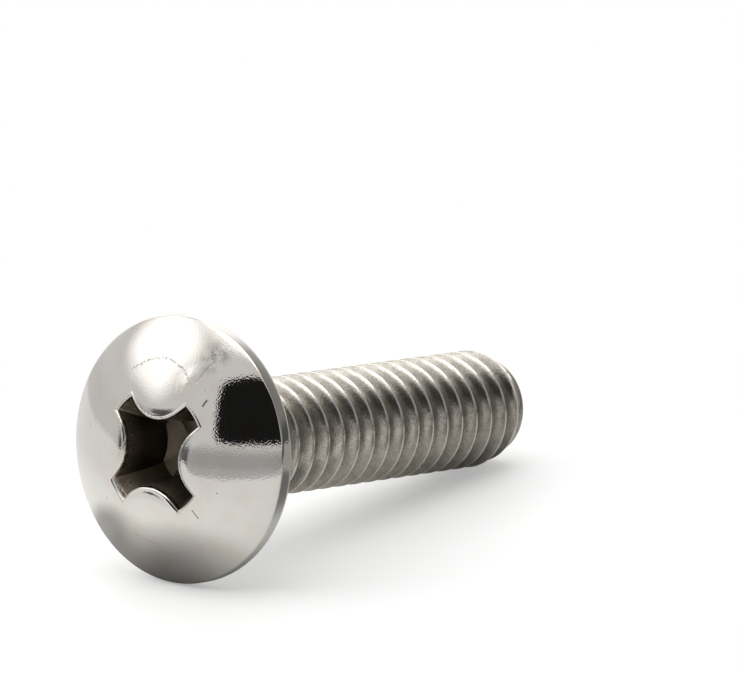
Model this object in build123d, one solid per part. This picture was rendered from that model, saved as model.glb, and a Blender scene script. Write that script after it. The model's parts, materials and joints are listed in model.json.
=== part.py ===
from build123d import *
import math
import os

# A truss head machine screw, a quarter inch across and an inch long under the head, with
# twenty threads to the inch and a cross recess in its low dome. It is cold headed and
# thread rolled from one piece of wire, so it is one solid.
# It is built along its own axis first: the bearing face under the head is at height 0, the
# shank points up and the dome points down. At the end it is laid on its side, as it comes
# to rest: on the edge of its head and on its last full thread, with its shank towards +X.

# Head, in millimetres
head_diameter = 14.2
head_height = 3.5
rim_thickness = 0.87  # from the bearing face to the round edge of the dome
rim_round = 0.45  # on the bearing side of the rim
dome_edge_round = 0.2

# Shank and thread, in millimetres and degrees
shank_length = 25.4
thread_diameter = 6.35
thread_pitch = 1.27
root_diameter = 4.8
crest_width = 0.2
flank_angle = 60.0  # between the two flanks of the ridge
steps_per_turn = 20  # flat steps in one turn of the thread
run_out_start = 0.44  # height at which the thread leaves the neck
run_out_length = 1.2  # in which it rises to its full height
neck_diameter = 5.6  # the plain wire that the thread is rolled on
neck_length = 0.85
neck_fillet = 0.45

# Point
point_diameter = 4.2  # flat end
bead_diameter = 5.3  # plain band behind the end's chamfer
bead_length = 0.3
point_chamfer = 0.25
lead_in_length = 1.3  # in which the thread sinks to the band
groove_slope = 55.0  # from the axis, at both ends of the thread groove

# Cross recess, in millimetres and degrees
recess_span = 6.75  # across two opposite wings, where they meet the dome
recess_waist = 3.56  # between two opposite lobes
recess_depth = 3.4  # from the top of the dome to the foot of the walls
wing_width = 1.3
wing_slope = 26.5  # of the wing ends, from the axis
wall_draft = 6.0  # of all other walls
recess_point = 0.5  # height of the conical hollow at the bottom
recess_turn = 46.7  # of the cross about the axis

head_radius = head_diameter / 2
thread_radius = thread_diameter / 2
root_radius = root_diameter / 2
neck_radius = neck_diameter / 2
bead_radius = bead_diameter / 2
point_radius = point_diameter / 2
lead_in_end = shank_length - point_chamfer
core_radius = 0.95 * root_radius
sleeve_radius = 0.9 * root_radius  # inner side of the thread, which is sunk into the core
clear = 1.0  # how far cutting shapes reach past what they cut


def slope(degrees):
    return math.tan(math.radians(degrees))


# The dome is an arc that passes through the top of the head and blends into its round edge.
edge_reach = head_radius - dome_edge_round
edge_drop = head_height - rim_thickness
dome_radius = (edge_reach**2 + edge_drop**2 - dome_edge_round**2) / (2 * (edge_drop - dome_edge_round))
dome_centre = dome_radius - head_height
rim_reach = head_radius - rim_round


def on_circle(centre, radius, degrees):
    angle = math.radians(degrees)
    return (centre[0] + radius * math.cos(angle), centre[1] + radius * math.sin(angle))


def turned(outline):
    # A solid turned about the axis from an outline drawn by a function, in radius and height
    with BuildSketch(Plane.XZ) as section:
        with BuildLine():
            outline()
        make_face()
    return revolve(section.sketch, Axis.Z)


def turned_polygon(*points):
    return turned(lambda: Polyline(*points, close=True))


def blank_outline():
    dome = (0, dome_centre)
    edge = (edge_reach, -rim_thickness)
    rim = (rim_reach, -rim_round)
    blend = -math.degrees(math.atan2(dome_centre + rim_thickness, edge_reach))
    top = (0, -head_height)
    shoulder = on_circle(edge, dome_edge_round, blend)
    fillet = (neck_radius + neck_fillet, neck_fillet)
    groove_start = neck_length + (neck_radius - core_radius) / slope(groove_slope)
    bead_start = lead_in_end - bead_length
    groove_end = bead_start - (bead_radius - core_radius) / slope(groove_slope)

    Line((0, 0), top)
    ThreePointArc(top, on_circle(dome, dome_radius, (blend - 90) / 2), shoulder)
    ThreePointArc(shoulder, on_circle(edge, dome_edge_round, blend / 2), (head_radius, -rim_thickness))
    Line((head_radius, -rim_thickness), (head_radius, -rim_round))
    ThreePointArc((head_radius, -rim_round), on_circle(rim, rim_round, 45), (rim_reach, 0))
    Line((rim_reach, 0), (fillet[0], 0))
    Polyline(
        *[on_circle(fillet, neck_fillet, degrees) for degrees in (270, 240, 210, 180)],
        (neck_radius, neck_length),
        (core_radius, groove_start),
        (core_radius, groove_end),
        (bead_radius, bead_start),
        (bead_radius, lead_in_end),
        (point_radius, shank_length),
        (0, shank_length),
        (0, 0),
    )


# The cross: parallel wing sides that run into round lobes of metal, drawn wider where it
# starts above the dome, so that the draft brings it to size at the mouth.
def cross_outline(grown):
    half_width = wing_width / 2 + grown
    half_waist = recess_waist / 2 + grown
    lobe_radius = (half_waist - half_width * math.sqrt(2)) / (math.sqrt(2) - 1)
    lobe_centre = lobe_radius + half_width
    lobe_tip = half_waist / math.sqrt(2)
    reach = recess_span
    wing = [
        (reach, -half_width),
        (reach, half_width),
        (lobe_centre, half_width),
        (lobe_tip, lobe_tip),
        (half_width, lobe_centre),
        (half_width, reach),
    ]
    with BuildSketch() as cross:
        with BuildLine():
            for quarter in range(4):
                corners = [Vector(*corner).rotate(Axis.Z, 90 * quarter) for corner in wing]
                Polyline(*corners[:3])
                ThreePointArc(*corners[2:5])
                Line(*corners[4:])
        make_face()
    return cross.sketch


def cross_recess():
    mouth_drop = dome_radius - math.sqrt(dome_radius**2 - (recess_span / 2) ** 2)
    above = mouth_drop + clear
    below = recess_depth - mouth_drop
    mouth = mouth_drop - head_height
    cross = Plane.XY.offset(mouth - above) * cross_outline(above * slope(wall_draft))
    walls = extrude(cross, above + below, taper=wall_draft)
    ends = turned_polygon(
        (0, mouth - above),
        (recess_span / 2 + above * slope(wing_slope), mouth - above),
        (recess_span / 2 - below * slope(wing_slope), mouth + below),
        (0, mouth + below),
    )
    foot = recess_waist / 2 - below * slope(wall_draft)
    hollow = turned_polygon(
        (0, mouth + below - clear),
        (foot / 2, mouth + below - clear),
        (foot, mouth + below),
        (0, mouth + below + recess_point),
    )
    return Rot(0, 0, recess_turn) * ((walls & ends) + hollow)


# The ends of the thread are limited by two cones. Each value is the ridge's largest radius
# at a height, and inside the neck and the band the ridge is a little smaller than they are.
hidden = 0.05
run_out_radius = neck_radius - hidden
lead_in_radius = bead_radius - hidden
run_out_rate = (thread_radius - run_out_radius) / run_out_length
lead_in_rate = (thread_radius - lead_in_radius) / lead_in_length


def ridge_limit(height):
    return min(
        run_out_radius + (height - run_out_start) * run_out_rate,
        lead_in_radius + (lead_in_end - hidden - height) * lead_in_rate,
        thread_radius,
    )


# The thread is a sleeve of flat facets around the core. Its section is one pitch wide: a
# ridge and the root beside it, with the inner side sunk into the core.
def thread_section(step):
    height = run_out_start + (step / steps_per_turn - 1) * thread_pitch
    crest = max(ridge_limit(height), root_radius + hidden)
    half_crest = crest_width / 2 + (thread_radius - crest) * slope(flank_angle / 2)
    half_foot = crest_width / 2 + (thread_radius - root_radius) * slope(flank_angle / 2)
    corners = [
        (sleeve_radius, -half_foot),
        (root_radius, -half_foot),
        (crest, -half_crest),
        (crest, half_crest),
        (root_radius, half_foot),
    ]
    angle = 360 * step / steps_per_turn
    return [Vector(radius, 0, height + rise).rotate(Axis.Z, angle) for radius, rise in corners]


def thread():
    turns = math.ceil((lead_in_end - run_out_start) / thread_pitch) + 1
    last = turns * steps_per_turn
    rings = []
    for step in range(last + 1):
        next_turn = thread_section(step + steps_per_turn)
        rings.append(thread_section(step) + [next_turn[1], next_turn[0]])
    facets = [make_face(Polyline(*ring, close=True)) for ring in (rings[0], rings[last])]
    for step in range(last):
        here, there = rings[step], rings[step + 1]
        sides = [(1, 2), (2, 3), (3, 4), (4, 5), (6, 0)]
        if step < steps_per_turn:
            sides.append((0, 1))
        if step >= last - steps_per_turn:
            sides.append((5, 6))
        for one, two in sides:
            facets.append(Face(Wire.make_polygon([here[one], there[one], there[two]])))
            facets.append(Face(Wire.make_polygon([here[one], there[two], here[two]])))
    past_end = Cylinder(head_radius, 9 * thread_pitch, align=(Align.CENTER, Align.CENTER, Align.MIN))
    return Solid(Shell(facets)) - Pos(0, 0, lead_in_end - hidden) * past_end


# Laid down, the ridge passes under the axis once a turn. The screw tilts until the first of
# those crossings touches the ground, with the round rim of the head on the ground as well.
def rest_tilt():
    tilts = []
    step = steps_per_turn
    while thread_section(step)[3].Z < lead_in_end:
        for crest in thread_section(step)[2:4]:
            along = crest.Z + rim_round
            across = rim_reach - crest.X
            tilts.append(math.atan2(across, along) + math.asin(rim_round / math.hypot(along, across)))
        step += steps_per_turn
    return math.degrees(min(tilts))


screw = turned(blank_outline) + thread() - cross_recess()
laid_down = Rot(0, 90 + rest_tilt(), 0) * screw

os.makedirs("parts", exist_ok=True)
export_step(laid_down.solid(), "parts/truss_head_screw.step")
print("tilt at rest", round(rest_tilt(), 3), "degrees")
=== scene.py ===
import json
import math

import bmesh
import bpy
from mathutils import Matrix, Vector


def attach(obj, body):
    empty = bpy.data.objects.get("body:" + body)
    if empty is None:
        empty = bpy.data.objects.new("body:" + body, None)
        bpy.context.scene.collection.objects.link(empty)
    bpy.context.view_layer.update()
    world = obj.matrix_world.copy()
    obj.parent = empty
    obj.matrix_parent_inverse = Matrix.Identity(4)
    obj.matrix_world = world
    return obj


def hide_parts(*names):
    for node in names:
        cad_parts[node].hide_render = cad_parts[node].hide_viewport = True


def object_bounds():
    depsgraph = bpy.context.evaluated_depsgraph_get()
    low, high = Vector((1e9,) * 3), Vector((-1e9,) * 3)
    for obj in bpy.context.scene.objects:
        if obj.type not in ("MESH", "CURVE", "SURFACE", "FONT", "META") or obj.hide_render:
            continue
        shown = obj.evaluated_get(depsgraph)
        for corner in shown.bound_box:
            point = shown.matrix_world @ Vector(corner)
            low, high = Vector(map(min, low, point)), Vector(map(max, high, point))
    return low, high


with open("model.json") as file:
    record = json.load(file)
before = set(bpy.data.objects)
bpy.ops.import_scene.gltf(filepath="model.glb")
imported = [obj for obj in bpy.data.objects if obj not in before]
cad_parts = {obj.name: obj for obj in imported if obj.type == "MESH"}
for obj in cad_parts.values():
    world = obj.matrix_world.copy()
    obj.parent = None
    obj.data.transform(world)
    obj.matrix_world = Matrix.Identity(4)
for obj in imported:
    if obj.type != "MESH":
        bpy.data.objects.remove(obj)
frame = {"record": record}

cadBox = [list(corner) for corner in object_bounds()]

# The screw is modelled upright in millimetres: the bearing face at height 0, the thread up and
# the dome down. layDown() turns it to its place in the frame, in metres.
shape = {
    "headRadius": 7.1,
    "headHeight": 3.5,
    "rimThickness": 0.87,  # from the bearing face to the round edge of the dome
    "rimRound": 0.45,
    "domeEdgeRound": 0.2,
    "neckRadius": 2.8,
    "neckFillet": 0.45,
    "neckLength": 0.85,
    "coreRadius": 2.28,
    "rootRadius": 2.4,
    "threadRadius": 3.175,
    "pitch": 1.27,
    "length": 25.4,
    "endRadius": 2.1,
    "beadRadius": 2.65,
    "beadLength": 0.3,
    "beadRound": 0.28,
    "endChamfer": 0.25,
    "grooveSlope": 55,  # degrees from the axis, where the thread groove starts and ends
    "runOutStart": 0.44,
    "runOutLength": 1.2,
    "leadInLength": 1.3,
}

recess = {
    "span": 3.375,  # half of the cross
    "halfWidth": 0.65,
    "halfWaist": 1.78,
    "depth": 3.4,
    "pointHeight": 0.5,
    "wallDraft": 6,
    "wingSlope": 26.5,
    "turn": 46.7,
    "edgeRound": 0.11,
    "pressedDepth": 0.1,  # how far the punch pulls the metal down around the lobes
    "pressedWidth": 0.65,  # and how far from the mouth
    "burrHeight": 0.015,  # of the fine raised edge along the mouth
    "burrWidth": 0.08,
    "ringReach": 4.7,  # end of the fine rings of the mesh
    # where those rings lie, from the mouth to their end
    "ringShares": (
        0.012, 0.025, 0.04, 0.065, 0.1, 0.14, 0.18, 0.23, 0.29, 0.36, 0.44, 0.54, 0.66, 0.8, 1.0,
    ),
}

threadForm = {
    "steps": 96,
    "turns": 22,
    "crestHalf": 0.1,
    "crestRound": 0.05,
    "crestSeam": 0.012,  # depth of the fine line that rolling leaves along the crest
}

restTilt = -math.asin(frame["record"]["mounts"][0]["axis"][2])


def deselectAll():
    if bpy.context.object and bpy.context.object.mode == "EDIT":
        bpy.ops.object.mode_set(mode="OBJECT")
    bpy.ops.object.select_all(action="DESELECT")


def slope(degrees):
    return math.tan(math.radians(degrees))


def steps(start, end, count):
    return [start + (end - start) * i / (count - 1) for i in range(count)]


# Camera, at the photograph's viewing angle
camera = {
    "place": (-0.375625, -0.322766, 0.143749),
    "lens": 478.08,
    "azimuth": 219.55,
    "elevation": 15.598,
    "roll": -3.09,
}
cameraData = bpy.data.cameras.new("photoCamera")
cameraData.lens = camera["lens"]
cameraData.sensor_width = 36
cameraObject = bpy.data.objects.new("photoCamera", cameraData)
bpy.context.scene.collection.objects.link(cameraObject)
azimuth, elevation = math.radians(camera["azimuth"]), math.radians(camera["elevation"])
lookBack = Vector((
    math.cos(elevation) * math.cos(azimuth),
    math.cos(elevation) * math.sin(azimuth),
    math.sin(elevation),
))
turnToObject = lookBack.to_track_quat("Z", "Y").to_matrix().to_4x4()
cameraObject.matrix_world = (
    Matrix.Translation(camera["place"])
    @ turnToObject
    @ Matrix.Rotation(math.radians(camera["roll"]), 4, "Z")
)
bpy.context.scene.camera = cameraObject
print("camera placed")

# Head, core and end
edgeRound = shape["domeEdgeRound"]
edgeReach = shape["headRadius"] - edgeRound
edgeDrop = shape["headHeight"] - shape["rimThickness"]
domeRadius = (edgeReach**2 + edgeDrop**2 - edgeRound**2) / (2 * (edgeDrop - edgeRound))
domeCentre = domeRadius - shape["headHeight"]
blendAngle = -math.atan2(domeCentre + shape["rimThickness"], edgeReach)
rimReach = shape["headRadius"] - shape["rimRound"]
mouthDrop = domeRadius - math.sqrt(domeRadius**2 - recess["span"]**2)
mouthHeight = mouthDrop - shape["headHeight"]
recessFoot = recess["depth"] - shape["headHeight"]


def domeHeight(radius):
    return domeCentre - math.sqrt(domeRadius**2 - radius**2)


def foldedAngle(angle):
    # Every wing of the cross looks alike, so an angle is counted from the nearest wing
    angle = (angle - math.radians(recess["turn"])) % (math.pi / 2)
    return min(angle, math.pi / 2 - angle)


def crossRadius(angle, height, grown=0.0):
    sunk = (height - mouthHeight) * slope(recess["wallDraft"]) - grown
    halfWidth = recess["halfWidth"] - sunk
    halfWaist = recess["halfWaist"] - sunk
    wingEnd = recess["span"] - (height - mouthHeight) * slope(recess["wingSlope"]) + grown
    lobeRadius = (halfWaist - halfWidth * math.sqrt(2)) / (math.sqrt(2) - 1)
    lobeCentre = lobeRadius + halfWidth
    angle = foldedAngle(angle)
    if math.tan(angle) * lobeCentre < halfWidth:
        side = halfWidth / max(math.sin(angle), 1e-6)
    else:
        along = lobeCentre * (math.cos(angle) + math.sin(angle))
        side = along - math.sqrt(max(along**2 - 2 * lobeCentre**2 + lobeRadius**2, 0))
    return min(wingEnd, side)


def mouthRadius(angle, grown):
    # Where the recess wall, moved out by grown, would meet the dome
    radius = recess["span"]
    for _ in range(4):
        radius = crossRadius(angle, domeHeight(radius), grown)
    return radius


def crossAngles():
    # Columns of the mesh: the wing ends, the wing sides and the round lobes get their own
    lobeRadius = (recess["halfWaist"] - recess["halfWidth"] * math.sqrt(2)) / (math.sqrt(2) - 1)
    lobeCentre = lobeRadius + recess["halfWidth"]
    corner = math.asin(recess["halfWidth"] / recess["span"])
    half = steps(0, corner, 7)
    cornerX = recess["span"] * math.cos(corner)
    half += [math.atan2(recess["halfWidth"], x) for x in steps(cornerX, lobeCentre, 9)[1:]]
    for turn in steps(0, 45, 15)[1:]:
        arc = math.radians(270 - turn)
        x, y = lobeCentre + lobeRadius * math.cos(arc), lobeCentre + lobeRadius * math.sin(arc)
        half.append(math.atan2(y, x))
    quarter = half + [math.pi / 2 - angle for angle in reversed(half[:-1])]
    turned = math.radians(recess["turn"])
    return [turned + math.pi / 2 * i + angle for i in range(4) for angle in quarter[:-1]]


def headRings():
    # Each ring gives a radius and a height for an angle, from the foot of the recess outwards
    rings = []
    wallFoot = mouthHeight + 0.35
    for height in steps(recessFoot, wallFoot, 7):
        rings.append(lambda a, z=height: (crossRadius(a, z), z))
    for share in (0.35, 0.7, 1.0):
        def wall(a, share=share):
            radius = mouthRadius(a, 0)
            top = domeHeight(radius) + recess["edgeRound"] + pressed(a, radius)
            z = wallFoot + (top - wallFoot) * share
            return crossRadius(a, z), z
        rings.append(wall)
    for phi in steps(0, 90, 7)[1:]:
        def edge(a, phi=math.radians(phi)):
            radius = mouthRadius(a, recess["edgeRound"] * (1 - math.cos(phi)))
            depth = recess["edgeRound"] * (1 - math.sin(phi))
            return radius, domeHeight(radius) + depth + pressed(a, radius)
        rings.append(edge)
    for share in recess["ringShares"]:
        def lobe(a, share=share):
            inner = mouthRadius(a, recess["edgeRound"])
            radius = inner + (recess["ringReach"] - inner) * share
            return radius, domeHeight(radius) + pressed(a, radius)
        rings.append(lobe)
    blendRadius = domeRadius * math.cos(blendAngle)
    for radius in steps(recess["ringReach"], blendRadius, 16)[1:]:
        rings.append(lambda a, r=radius: (r, domeHeight(r)))
    for turn in steps(blendAngle, 0, 9)[1:]:
        radius = edgeReach + edgeRound * math.cos(turn)
        height = -shape["rimThickness"] + edgeRound * math.sin(turn)
        rings.append(lambda a, r=radius, z=height: (r, z))
    for height in steps(-shape["rimThickness"], -shape["rimRound"], 4)[1:]:
        rings.append(lambda a, r=shape["headRadius"], z=height: (r, z))
    for turn in steps(0, math.pi / 2, 14)[1:]:
        radius = rimReach + shape["rimRound"] * math.cos(turn)
        height = -shape["rimRound"] + shape["rimRound"] * math.sin(turn)
        rings.append(lambda a, r=radius, z=height: (r, z))
    for radius in steps(rimReach, shape["neckRadius"] + shape["neckFillet"], 10)[1:]:
        rings.append(lambda a, r=radius: (r, 0))
    for turn in steps(270, 180, 9)[1:]:
        radius = shape["neckRadius"] + shape["neckFillet"] * (1 + math.cos(math.radians(turn)))
        height = shape["neckFillet"] * (1 + math.sin(math.radians(turn)))
        rings.append(lambda a, r=radius, z=height: (r, z))
    return rings


def mouthPoints():
    # The mouth's edge as points, each with how much it is pulled down: most at the lobes
    points = []
    for angle in crossAngles():
        radius = mouthRadius(angle, recess["edgeRound"])
        share = (recess["span"] - radius) / (recess["span"] - recess["halfWaist"])
        share = max(0.0, min(1.0, share * 1.3))
        points.append((radius * math.cos(angle), radius * math.sin(angle), 0.2 + 0.8 * share))
    return points


mouthEdge = mouthPoints()


def pressed(angle, radius):
    # The metal around the mouth is pulled down by the punch, the more the nearer it is
    x, y = radius * math.cos(angle), radius * math.sin(angle)
    total, pull = 0.0, 0.0
    nearest = min((x - px)**2 + (y - py)**2 for px, py, share in mouthEdge)
    for px, py, share in mouthEdge:
        weight = 1 / ((x - px)**2 + (y - py)**2 + 0.01)**2
        total += weight
        pull += weight * share
    distance = math.sqrt(nearest)
    away = min(1.0, max(distance, recess["burrWidth"]) / recess["pressedWidth"])
    burr = recess["burrHeight"] * max(0.0, 1 - distance / recess["burrWidth"])
    pull /= total
    return recess["pressedDepth"] * pull * (1 - away)**2 - burr


def shankRings():
    grooveRise = slope(shape["grooveSlope"])
    grooveStart = shape["neckLength"] + (shape["neckRadius"] - shape["coreRadius"]) / grooveRise
    endEdge = shape["length"] - shape["endChamfer"]
    beadStart = endEdge - shape["beadLength"]
    grooveEnd = beadStart - (shape["beadRadius"] - shape["coreRadius"]) / grooveRise
    rings = [
        (shape["neckRadius"], shape["neckLength"]),
        (shape["coreRadius"], grooveStart),
        (shape["coreRadius"], grooveEnd),
    ]
    # the rolled bead at the end is round in section and stands a little lower than the flat end
    for turn in steps(-35, 90, 9):
        bulge = math.radians(turn)
        rings.append((
            shape["beadRadius"] - shape["beadRound"] * (1 - math.cos(bulge)),
            shape["length"] - 0.05 - shape["beadRound"] * (1 - math.sin(bulge)),
        ))
    rings.append((shape["endRadius"] + 0.02, shape["length"] - 0.06))
    rings.append((shape["endRadius"] - 0.02, shape["length"] - 0.02))
    rings.append((shape["endRadius"] - 0.1, shape["length"]))
    rings.append((shape["endRadius"] * 0.5, shape["length"]))
    return [lambda a, r=radius, z=height: (r, z) for radius, height in rings]


def placeSelected(editMesh, ring):
    for vertex in editMesh.verts:
        if vertex.select:
            angle = math.atan2(vertex.co.y, vertex.co.x)
            radius, height = ring(angle)
            vertex.co = (radius * math.cos(angle), radius * math.sin(angle), height)


def makeBlank():
    deselectAll()
    angles = crossAngles()
    bpy.ops.mesh.primitive_circle_add(vertices=len(angles), radius=1, fill_type="NOTHING")
    blank = bpy.context.object
    blank.name = "blank"
    for vertex, angle in zip(blank.data.vertices, angles):
        radius, height = crossRadius(angle, recessFoot), recessFoot
        vertex.co = (radius * math.cos(angle), radius * math.sin(angle), height)
    bpy.ops.object.mode_set(mode="EDIT")
    bpy.ops.mesh.select_all(action="SELECT")
    for ring in headRings()[1:] + shankRings():
        bpy.ops.mesh.extrude_edges_move()
        editMesh = bmesh.from_edit_mesh(blank.data)
        placeSelected(editMesh, ring)
        bmesh.update_edit_mesh(blank.data)
    bpy.ops.mesh.edge_face_add()  # the flat end
    # the hollow at the foot of the recess
    bpy.ops.mesh.select_all(action="DESELECT")
    editMesh = bmesh.from_edit_mesh(blank.data)
    for edge in editMesh.edges:
        edge.select_set(edge.is_boundary)
    bmesh.update_edit_mesh(blank.data)
    for share in (0.75, 0.5, 0.25, 0.08):
        bpy.ops.mesh.extrude_edges_move()
        editMesh = bmesh.from_edit_mesh(blank.data)
        foot = recessFoot + recess["pointHeight"] * (1 - share)
        placeSelected(editMesh, lambda a: (crossRadius(a, recessFoot) * share, foot))
        bmesh.update_edit_mesh(blank.data)
    bpy.ops.mesh.edge_face_add()
    bpy.ops.mesh.select_all(action="SELECT")
    bpy.ops.mesh.normals_make_consistent(inside=False)
    bpy.ops.object.mode_set(mode="OBJECT")
    return blank


blank = makeBlank()
print("blank", len(blank.data.vertices))


# Thread
def threadProfile():
    # Half of the ridge, from the middle of the crest down to the middle of the root
    crest = shape["threadRadius"]
    half = [
        (crest - threadForm["crestSeam"], 0.0),
        (crest, 0.03),
        (crest - 0.01, 0.06),
        (crest - threadForm["crestRound"], threadForm["crestHalf"] + 0.008),
    ]
    footHeight = threadForm["crestHalf"] + (crest - shape["rootRadius"]) * slope(30)
    for share in (0.2, 0.5, 0.8):
        radius = crest - threadForm["crestRound"] - (crest - shape["rootRadius"] - 0.12) * share
        half.append((radius, threadForm["crestHalf"] + (crest - radius) * slope(30)))
    half.append((shape["rootRadius"] + 0.03, footHeight - 0.01))
    half.append((shape["rootRadius"], footHeight + 0.04))
    half.append((shape["rootRadius"], shape["pitch"] / 2))
    return [(radius, -rise) for radius, rise in reversed(half[1:])] + half


def ridgeLimit(height):
    hidden = 0.05
    runOutRadius = shape["neckRadius"] - hidden
    leadInRadius = shape["beadRadius"] - hidden
    endEdge = shape["length"] - shape["endChamfer"] - hidden
    crest = shape["threadRadius"]
    runOutRate = (crest - runOutRadius) / shape["runOutLength"]
    leadInRate = (crest - leadInRadius) / shape["leadInLength"]
    return min(
        runOutRadius + (height - shape["runOutStart"]) * runOutRate,
        leadInRadius + (endEdge - height) * leadInRate,
        crest,
    )


def cutThrough(height, lower):
    bpy.ops.mesh.select_all(action="SELECT")
    bpy.ops.mesh.bisect(
        plane_co=(0, 0, height),
        plane_no=(0, 0, 1),
        use_fill=True,
        clear_inner=lower,
        clear_outer=not lower,
    )


def makeThread():
    deselectAll()
    profile = threadProfile()
    bpy.ops.mesh.primitive_plane_add(size=0.1)
    thread = bpy.context.object
    thread.name = "thread"
    bpy.ops.object.mode_set(mode="EDIT")
    bpy.ops.mesh.merge(type="CENTER")
    bpy.ops.mesh.select_all(action="SELECT")
    startHeight = shape["runOutStart"] - shape["pitch"]
    first = Vector((profile[0][0], 0, profile[0][1] + startHeight))
    bpy.ops.transform.translate(value=first)
    place = first
    for radius, rise in profile[1:]:
        target = Vector((radius, 0, rise + startHeight))
        bpy.ops.mesh.extrude_vertices_move(TRANSFORM_OT_translate={"value": target - place})
        place = target
    bpy.ops.object.mode_set(mode="OBJECT")
    screwing = thread.modifiers.new("screw", "SCREW")
    screwing.axis = "Z"
    screwing.angle = math.radians(360)
    screwing.screw_offset = shape["pitch"]
    screwing.iterations = threadForm["turns"]
    screwing.steps = threadForm["steps"]
    screwing.render_steps = threadForm["steps"]
    bpy.ops.object.modifier_apply(modifier="screw")
    bpy.ops.object.mode_set(mode="EDIT")
    bpy.ops.mesh.select_all(action="SELECT")
    bpy.ops.mesh.remove_doubles(threshold=0.0005)
    cutThrough(shape["runOutStart"] + 0.06, True)
    cutThrough(shape["length"] - shape["endChamfer"] - 0.05, False)
    bpy.ops.mesh.select_all(action="SELECT")
    bpy.ops.mesh.normals_make_consistent(inside=False)
    bpy.ops.object.mode_set(mode="OBJECT")
    for vertex in thread.data.vertices:
        radius = math.hypot(vertex.co.x, vertex.co.y)
        limit = ridgeLimit(vertex.co.z)
        if radius > limit:
            vertex.co.x *= limit / radius
            vertex.co.y *= limit / radius
    return thread


thread = makeThread()
print("thread", len(thread.data.vertices))

# One piece
deselectAll()
bpy.context.view_layer.objects.active = blank
blank.select_set(True)
joining = blank.modifiers.new("join", "BOOLEAN")
joining.operation = "UNION"
joining.solver = "EXACT"
joining.object = thread
bpy.ops.object.modifier_apply(modifier="join")
bpy.data.objects.remove(thread)
screw = blank
screw.name = "steelScrew"
layDown = Matrix.Rotation(math.radians(90) + restTilt, 4, "Y") @ Matrix.Scale(0.001, 4)
screw.data.transform(layDown)
bpy.ops.object.shade_smooth_by_angle(angle=math.radians(38))
triangles = sum(len(face.vertices) - 2 for face in screw.data.polygons)
print("screw", len(screw.data.vertices), "vertices,", triangles, "triangles")


# Steel
class Sock:
    def __init__(self, tree, socket):
        self.tree = tree
        self.socket = socket

    def math(self, operation, *others):
        node = self.tree.nodes.new("ShaderNodeMath")
        node.operation = operation
        for slotIndex, value in enumerate((self,) + others):
            fill(self.tree, node.inputs[slotIndex], value)
        return Sock(self.tree, node.outputs[0])

    def __add__(self, other):
        return self.math("ADD", other)

    __radd__ = __add__

    def __mul__(self, other):
        return self.math("MULTIPLY", other)

    __rmul__ = __mul__

    def __sub__(self, other):
        return self.math("SUBTRACT", other)

    def __rsub__(self, other):
        return (self * -1) + other

    def __truediv__(self, other):
        return self.math("DIVIDE", other)

    def ramp(self, low, high):
        # 0 at low, 1 at high, eased
        return addNode(
            self.tree, "ShaderNodeMapRange", {"interpolation_type": "SMOOTHSTEP"}, "Result",
            Value=self, From_Min=low, From_Max=high,
        )


def fill(tree, target, value):
    if isinstance(value, Sock):
        tree.links.new(value.socket, target)
    else:
        target.default_value = value


def addNode(tree, kind, settings=None, outputName=0, **inputs):
    node = tree.nodes.new(kind)
    for key, value in (settings or {}).items():
        setattr(node, key, value)
    for key, value in inputs.items():
        fill(tree, node.inputs[key.replace("_", " ")], value)
    return Sock(tree, node.outputs[outputName])


def splitVector(tree, vector):
    node = addNode(tree, "ShaderNodeSeparateXYZ", Vector=vector).socket.node
    return [Sock(tree, output) for output in node.outputs]


def noise(tree, place, scale, detail):
    return addNode(
        tree, "ShaderNodeTexNoise", outputName="Fac", Vector=place, Scale=scale, Detail=detail,
    )


def distanceTo(x, y, middle):
    offX, offY = x - middle[0], y - middle[1]
    return (offX * offX + offY * offY).math("SQRT")


def shaded(colour, share):
    return tuple(part * share for part in colour)


steelLook = {
    "head": (0.66, 0.64, 0.61),
    "flank": (0.565, 0.527, 0.467),
    # the crest colour, lighter than the flank, is a painted highlight along the crest lines; the
    # crest's lower roughness is its own finish
    "crest": (0.86, 0.85, 0.82),
    # the recess colour is dark brown as painted shade for the inside of the recess
    "recess": (0.3, 0.25, 0.19),
    "mark": (0.12, 0.105, 0.09),
    "headRoughness": 0.05,
    "flankRoughness": 0.245,
    "crestRoughness": 0.18,
    "recessRoughness": 0.42,
    # scratches, specks and a crease on the dome: from, to, half their width in millimetres and
    # darkness; the last three draw the crease as a faint dark line of painted shade, also pressed in
    # by the bump
    "marks": [
        ((2.69, -2.64), (3.09, -2.93), 0.025, 0.9),
        ((-2.86, -2.95), (-3.16, -3.09), 0.05, 0.75),
        ((4.46, 1.64), (4.73, 1.0), 0.014, 0.6),
        ((4.73, 1.0), (4.91, 0.1), 0.014, 0.5),
        ((2.88, 3.4), (2.9, 3.41), 0.045, 0.9),
        ((-0.72, 4.95), (-0.7, 4.97), 0.03, 0.7),
        ((1.57, -4.08), (1.62, -4.06), 0.03, 0.7),
        ((-3.99, -2.24), (-4.32, -2.38), 0.05, 0.25),
        ((-4.32, -2.38), (-4.83, -2.63), 0.07, 0.35),
        ((-4.83, -2.63), (-5.2, -2.93), 0.06, 0.3),
    ],
    # the broken ring above the recess: its middle and radius
    "ringCentre": (-2.3, 0.15),
    "ringRadius": 2.68,
    # a rumpled patch beside it, and a patch drawn darker
    "rumpleCentre": (-3.85, -2.15),
    "rumpleReach": 1.15,
    "darkPatchCentre": (-5.35, -2.8),
    "darkPatchReach": 1.1,
}

# heights of the fine relief, in units of its depth, which is in metres
relief = {
    "depth": 0.0000028,
    "orangePeel": 0.9,
    "threadGrain": 2.2,
    "threadFine": 0.5,
    "fine": 0.12,
    "mark": 3,
    "rumple": 18,
    "recessGrain": 4,
}


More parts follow.
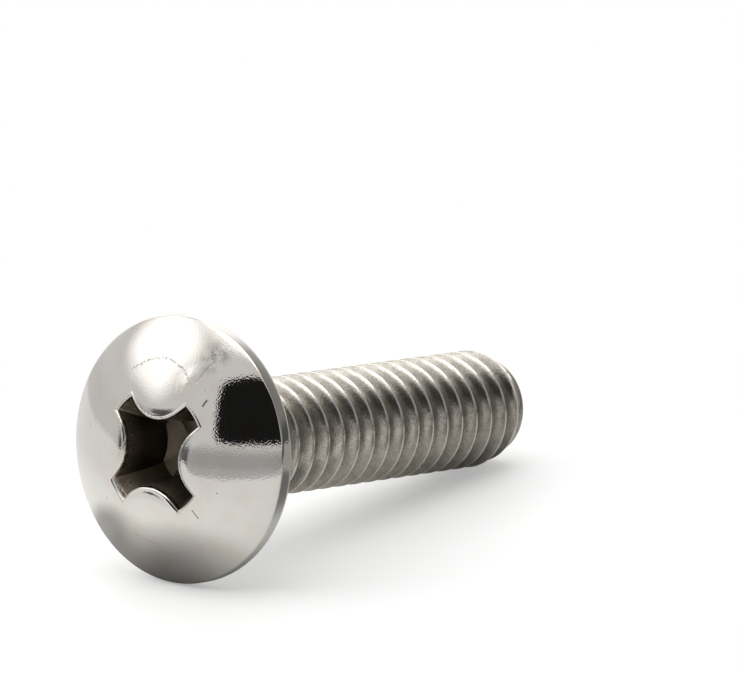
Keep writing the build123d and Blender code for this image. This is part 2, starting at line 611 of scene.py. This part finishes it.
def steelMaterial():
    material = bpy.data.materials.new("polishedSteel")
    material.use_nodes = True
    tree = material.node_tree
    shader = tree.nodes["Principled BSDF"]
    shader.inputs["Metallic"].default_value = 1
    coords = addNode(tree, "ShaderNodeTexCoord", outputName="Object")
    local = addNode(
        tree, "ShaderNodeMapping", {"vector_type": "POINT"},
        Vector=coords, Rotation=(0, -math.radians(90) - restTilt, 0), Scale=(1000, 1000, 1000),
    )
    x, y, z = splitVector(tree, local)
    around = x * x + y * y
    radius = around.math("SQRT")
    domeSurface = domeCentre - (domeRadius**2 - around).math("SQRT")
    onThread = z.ramp(0.02, 0.3) * z.ramp(shape["length"] - 0.01, shape["length"] - 0.05)
    onCrest = radius.ramp(shape["threadRadius"] - 0.02, shape["threadRadius"] - 0.006) * onThread
    depth = z - domeSurface
    inRecess = depth.ramp(0.15, 0.5) * (radius + z * 0.5).ramp(2.2, 2.0)
    onDome = z.ramp(-0.8, -1.0) * (1 - inRecess)
    grain = noise(tree, local, 8.0, 3.0)
    fine = noise(tree, local, 26.0, 2.0)
    cloud = noise(tree, local, 0.7, 3.0)
    mottle = noise(tree, local, 1.9, 4.0)
    orangePeel = noise(tree, local, 11.0, 0.0)
    rumple = noise(tree, local, 1.3, 1.5)

    marked = None
    for (ax, ay), (bx, by), halfWidth, darkness in steelLook["marks"]:
        wayX, wayY = bx - ax, by - ay
        span = wayX**2 + wayY**2
        share = ((x - ax) * wayX + (y - ay) * wayY) / span
        share = share.math("MINIMUM", 1.0).math("MAXIMUM", 0.0)
        offX, offY = x - ax - share * wayX, y - ay - share * wayY
        away = (offX * offX + offY * offY).math("SQRT") + (grain - 0.5) * halfWidth * 1.6
        mark = away.ramp(halfWidth * 1.5, halfWidth * 0.3) * darkness
        marked = mark if marked is None else marked.math("MAXIMUM", mark)
    # the faint broken ring that the punch leaves above the recess
    ringX = x - steelLook["ringCentre"][0]
    ringAway = distanceTo(x, y, steelLook["ringCentre"])
    ringWobble = (cloud - 0.5) * 0.5 + (grain - 0.5) * 0.45
    ring = (ringAway - steelLook["ringRadius"] + ringWobble).math("ABSOLUTE").ramp(0.055, 0.0)
    ring = ring * (ringX * -1 / ringAway).ramp(0.45, 0.7) * grain.ramp(0.36, 0.6)
    marked = marked.math("MAXIMUM", ring * 0.7) * onDome

    def blendColour(factor, first, second):
        # the colours are inputs 6 and 7 of a Mix node, and its result is output 2
        mixed = addNode(tree, "ShaderNodeMix", {"data_type": "RGBA"}, outputName=2, Factor=factor)
        for index, colour in ((6, first), (7, second)):
            value = colour if isinstance(colour, Sock) else (*colour, 1)
            fill(tree, mixed.socket.node.inputs[index], value)
        return mixed

    warm = tuple(part * shade for part, shade in zip(steelLook["head"], (0.97, 0.93, 0.89)))
    head = blendColour(cloud.ramp(0.35, 0.75), steelLook["head"], warm)
    dull = shaded(steelLook["flank"], 0.74)
    flank = blendColour((mottle * 0.5 + grain * 0.5).ramp(0.38, 0.64), steelLook["flank"], dull)
    # painted shade inside the recess: the recess colour darkens further with depth, and grain mixes
    # in lighter flecks of the flank colour as wear
    deep = shaded(steelLook["recess"], 0.55)
    deepest = shaded(steelLook["recess"], 0.5)
    wornAndShadedRecess = blendColour(grain.ramp(0.55, 0.68), steelLook["recess"], steelLook["flank"])
    hollow = blendColour(depth.ramp(0.5, 1.8), wornAndShadedRecess, deep)
    hollow = blendColour(depth.ramp(2.2, 3.2), hollow, deepest)
    # a darker head colour, for the painted shade at the lobes' edges and for a darker patch
    darkenedHead = shaded(steelLook["head"], 0.45)
    # a patch of the dome drawn darker, mottled by noise
    darkPatch = distanceTo(x, y, steelLook["darkPatchCentre"]).ramp(steelLook["darkPatchReach"], 0.1)
    darkPatch = darkPatch * (mottle * 0.7 + grain * 0.3).ramp(0.38, 0.56)
    # painted shade: the lobes' rolled edges at the mouth are drawn darker, but not the lowest one,
    # which faces the sky
    lobeEdgeShade = depth.ramp(0.01, 0.07) * radius.ramp(3.1, 2.8) * (x / radius).ramp(0.6, -0.2)
    lobeEdgeShade = lobeEdgeShade * (grain * 0.6 + mottle * 0.4).ramp(0.38, 0.56) * 0.6
    head = blendColour(darkPatch.math("MAXIMUM", lobeEdgeShade) * onDome, head, darkenedHead)
    colour = blendColour(onThread, head, flank)
    # painted highlight: the crests take the lighter crest colour
    colour = blendColour(onCrest, colour, steelLook["crest"])
    # the recess takes its colour of painted shade
    colour = blendColour(inRecess, colour, hollow)
    # scratches, specks and the ring darken the steel; along the crease the darkening is painted shade
    colour = blendColour(marked, colour, steelLook["mark"])
    tree.links.new(colour.socket, shader.inputs["Base Color"])
    roughness = (
        steelLook["headRoughness"]
        + onThread * (steelLook["flankRoughness"] - steelLook["headRoughness"])
        + onCrest * (steelLook["crestRoughness"] - steelLook["flankRoughness"])
        + inRecess * (steelLook["recessRoughness"] - steelLook["headRoughness"])
        + (cloud - 0.5) * 0.03
        + (grain - 0.5) * 0.05
        + marked * 0.25
    )
    tree.links.new(roughness.socket, shader.inputs["Roughness"])
    rumpled = distanceTo(x, y, steelLook["rumpleCentre"]).ramp(steelLook["rumpleReach"], 0.3) * onDome
    height = (
        orangePeel * relief["orangePeel"]
        + grain * onThread * relief["threadGrain"]
        + fine * (onThread * relief["threadFine"] + relief["fine"])
        - marked * relief["mark"]
        + rumple * rumpled * relief["rumple"]
        + grain * inRecess * relief["recessGrain"]
    )
    bump = addNode(
        tree, "ShaderNodeBump", outputName="Normal",
        Height=height, Strength=1.0, Distance=relief["depth"],
    )
    tree.links.new(bump.socket, shader.inputs["Normal"])
    return material


screw.data.materials.clear()
screw.data.materials.append(steelMaterial())
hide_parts("truss_head_screw")
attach(screw, "root")
print("materials done")

# Floor
floorLook = {
    "radius": 0.17,
    "colour": (0.92, 0.925, 0.91),
    "lift": 0.36,  # how much of the shadow the pale floor takes away
    "mirrored": 0.93,  # how pale it is in the steel
    "middle": (0.007, 0),  # of the shadow, which ends between the next two radii
    "shadowInner": 0.013,
    "shadowOuter": 0.036,
    # painted shadow: where the floor is drawn darker in glossy rays only, so the steel mirrors a
    # darker floor: middle, inner and outer radius and how much darker
    "shades": [
        ((-0.0018, 0.0008), 0.0005, 0.0085, 0.79),
        ((-0.0015, 0.0085), 0.0015, 0.0065, 0.6),
        ((0.048, -0.092), 0.085, 0.102, 0.56),
        ((0.005, -0.02), 0.008, 0.0128, 0.6),
        ((-0.13, -0.02), 0.072, 0.088, 0.42),
    ],
}
deselectAll()
floorHeight = cadBox[0][2]
bpy.ops.mesh.primitive_circle_add(
    vertices=96, radius=floorLook["radius"], fill_type="NGON", location=(0.01, 0, floorHeight),
)
floor = bpy.context.object
floor.name = "floor"
floorMaterial = bpy.data.materials.new("paleFloor")
floorMaterial.use_nodes = True
floorTree = floorMaterial.node_tree
floorShader = floorTree.nodes["Principled BSDF"]
floorShader.inputs["Roughness"].default_value = 0.6
floorCoords = addNode(floorTree, "ShaderNodeTexCoord", outputName="Object")
floorX, floorY, _ = splitVector(floorTree, floorCoords)
floorX = floorX + floor.location.x
seen = addNode(floorTree, "ShaderNodeLightPath", outputName="Is Camera Ray")
mirrored = addNode(floorTree, "ShaderNodeLightPath", outputName="Is Glossy Ray")
farAway = distanceTo(floorX, floorY, floorLook["middle"]).ramp(
    floorLook["shadowInner"], floorLook["shadowOuter"],
)
whiteShare = seen * floorLook["lift"] * (1 - farAway) + (seen + mirrored) * farAway
mirroredShare = floorLook["mirrored"]
# painted shadow that only the steel mirrors: each disc darkens the floor in glossy rays
for middle, inner, outer, darker in floorLook["shades"]:
    kept = 1 - distanceTo(floorX, floorY, middle).ramp(outer, inner) * darker
    mirroredShare = mirroredShare * kept
paleness = 1 - mirrored * (1 - mirroredShare)
red, green, blue = (paleness * part for part in floorLook["colour"])
floorColour = addNode(floorTree, "ShaderNodeCombineColor", Red=red, Green=green, Blue=blue)
floorTree.links.new(floorColour.socket, floorShader.inputs["Base Color"])
white = addNode(floorTree, "ShaderNodeEmission", Color=paleness)
fade = addNode(floorTree, "ShaderNodeMixShader", Fac=whiteShare)
# the two shaders of the mix are its inputs 1 and 2
floorTree.links.new(floorShader.outputs[0], fade.socket.node.inputs[1])
floorTree.links.new(white.socket, fade.socket.node.inputs[2])
floorTree.links.new(fade.socket, floorTree.nodes["Material Output"].inputs["Surface"])
floor.data.materials.append(floorMaterial)
print("floor done")

# Light
def wayTo(azimuth, elevation):
    azimuth, elevation = math.radians(azimuth), math.radians(elevation)
    return Vector((
        math.cos(elevation) * math.cos(azimuth),
        math.cos(elevation) * math.sin(azimuth),
        math.sin(elevation),
    ))


softBox = {
    "azimuth": 118, "elevation": 42, "distance": 0.35, "width": 0.36, "height": 0.2, "power": 0.24,
}
lampData = bpy.data.lights.new("softBox", "AREA")
lampData.shape = "RECTANGLE"
lampData.size = softBox["width"]
lampData.size_y = softBox["height"]
lampData.energy = softBox["power"]
lamp = bpy.data.objects.new("softBox", lampData)
bpy.context.scene.collection.objects.link(lamp)
lampWay = wayTo(softBox["azimuth"], softBox["elevation"])
lamp.location = lampWay * softBox["distance"]
lamp.rotation_euler = lampWay.to_track_quat("Z", "Y").to_euler()
lamp.visible_glossy = False

world = bpy.data.worlds.new("studio")
bpy.context.scene.world = world
world.use_nodes = True
worldTree = world.node_tree
worldCoords = addNode(worldTree, "ShaderNodeTexCoord", outputName="Generated")
wayX, wayY, wayZ = splitVector(worldTree, worldCoords)


def along(vector):
    return wayX * vector.x + wayY * vector.y + wayZ * vector.z


def panel(look):
    # 1 inside a rectangle on the studio's walls, seen from the screw, with soft edges and
    # round corners
    middle = wayTo(look["azimuth"], look["elevation"])
    across = Vector((0, 0, 1)).cross(middle).normalized()
    upright = middle.cross(across)
    forward = along(middle).math("MAXIMUM", 0.05)
    leaning = across - upright * look["lean"]
    side = (along(leaning) / forward / look["halfWidth"]).math("ABSOLUTE")
    up = (along(upright) / forward / look["halfHeight"]).math("ABSOLUTE")
    power = look["squareness"]
    edge = (side.math("POWER", power) + up.math("POWER", power)).math("POWER", 1 / power)
    return edge.ramp(1 + look["soft"], 1 - look["soft"]) * along(middle).ramp(0.1, 0.2)


# What the steel mirrors: how bright the walls are, and how much the rest darkens or adds
studio = {
    "walls": 0.78,
    "band": 0.06,  # the walls are greyer low down, more so in front and on the right
    "frontBand": 0.28,
    "rightBand": 0.45,
    "openingDark": 0.985,
    "lowDark": 0.75,
    "rightDark": 0.68,
    "ceiling": 2.0,
    "back": 0.75,
}
# the dark side of the studio behind the camera
opening = panel({
    "azimuth": 211.5, "elevation": 29.5, "halfWidth": 0.53, "halfHeight": 0.335,
    "squareness": 7, "soft": 0.02, "lean": 0.15,
})
# a dark card low on the left, which only the rolled lobes of the recess mirror
lowCard = panel({
    "azimuth": 149, "elevation": 1, "halfWidth": 0.2, "halfHeight": 0.17,
    "squareness": 3, "soft": 0.35, "lean": 0,
})
# the soft box
glow = panel({
    "azimuth": 117, "elevation": 40, "halfWidth": 0.4, "halfHeight": 0.3,
    "squareness": 4, "soft": 0.4, "lean": 0,
})
band = wayZ.ramp(0.2, 0.06)
frontWall = along(wayTo(209, 0)).ramp(0.0, 0.9)
rightWall = along(wayTo(290, 0)).ramp(0.2, 0.95)
rightSide = along(wayTo(305, 20)).ramp(0.3, 0.95)
backWall = along(wayTo(45, 25)).ramp(0.78, 0.97)
ceiling = wayZ.ramp(0.82, 0.96)
banding = studio["band"] + frontWall * studio["frontBand"] + rightWall * studio["rightBand"]
brightness = studio["walls"] - band * banding
brightness = brightness * (1 - opening * studio["openingDark"])
brightness = brightness * (1 - lowCard * studio["lowDark"])
brightness = brightness * (1 - rightSide * studio["rightDark"])
brightness = brightness + glow + ceiling * studio["ceiling"] + backWall * studio["back"]
isWorldCamera = addNode(worldTree, "ShaderNodeLightPath", outputName="Is Camera Ray")
strength = isWorldCamera + brightness * (1 - isWorldCamera)
worldTree.links.new(strength.socket, worldTree.nodes["Background"].inputs["Color"])
print("light done")

bpy.context.scene.view_settings.view_transform = "Standard"
